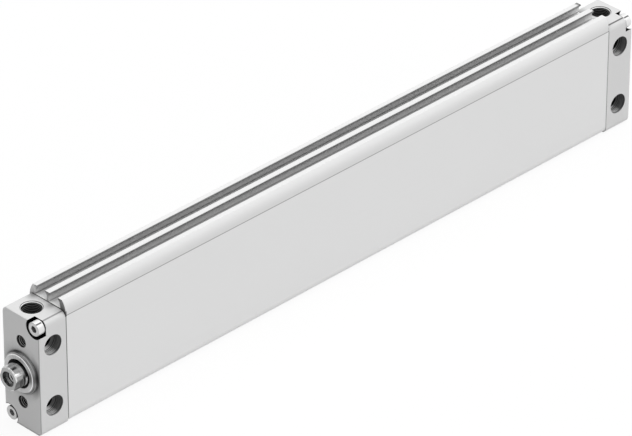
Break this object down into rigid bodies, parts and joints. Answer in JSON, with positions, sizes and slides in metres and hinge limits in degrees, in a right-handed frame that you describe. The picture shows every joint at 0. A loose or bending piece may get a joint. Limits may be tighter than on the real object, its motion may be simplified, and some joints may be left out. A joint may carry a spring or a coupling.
{
  "type": "flat pneumatic cylinder",
  "caption": "Slim double-acting air cylinder: flat aluminium barrel with oval bore and sensor slots, end caps with ports, sliding steel rod with female thread.",
  "frame": {"origin": "on the rod's axis, in the front face of the front cap", "axes": "+X from the front cap to the rear cap, +Y across the flat body, +Z towards the sensor slots"},
  "size_m": [0.3968, 0.024, 0.0651],
  "materials": {
    "anodised_barrel": "satin anodised, extruded",
    "anodised_cap": "satin anodised, machined",
    "screw_steel": "bright zinc plated",
    "rod_steel": "ground and machined",
    "collar_metal": "fine turned",
    "bush_bronze": "plain sintered bronze",
    "black_rubber": "matte nitrile rubber",
    "cushion_polymer": "satin polyurethane",
    "guide_polymer": "matte acetal",
    "magnet_ferrite": "matte plastic-bonded ferrite",
    "piston_aluminium": "machined",
    "plated_steel": "zinc plated"
  },
  "bodies": {
    "housing": {"barrel": "anodised_barrel", "front_cap": "anodised_cap", "rear_cap": "anodised_cap", "front_cap_screws": "screw_steel", "rear_cap_screws": "screw_steel", "front_cap_seal": "black_rubber", "rear_cap_seal": "black_rubber", "front_cushion": "cushion_polymer", "rear_cushion": "cushion_polymer", "bearing_collar": "collar_metal", "wiper_ring": "black_rubber", "rod_seal": "black_rubber", "rod_bush": "bush_bronze"},
    "rod": {"piston_rod": "rod_steel", "front_piston_half": "piston_aluminium", "rear_piston_half": "piston_aluminium", "front_piston_seal": "black_rubber", "rear_piston_seal": "black_rubber", "piston_magnet": "magnet_ferrite", "guide_band": "guide_polymer", "piston_o_ring": "black_rubber", "piston_washer": "plated_steel", "piston_nut": "plated_steel"}
  },
  "joints": [
    {"name": "rod_slide", "type": "slide", "parent": "housing", "child": "rod", "axis": [-1, 0, 0], "range_m": [0, 0.32]}
  ]
}
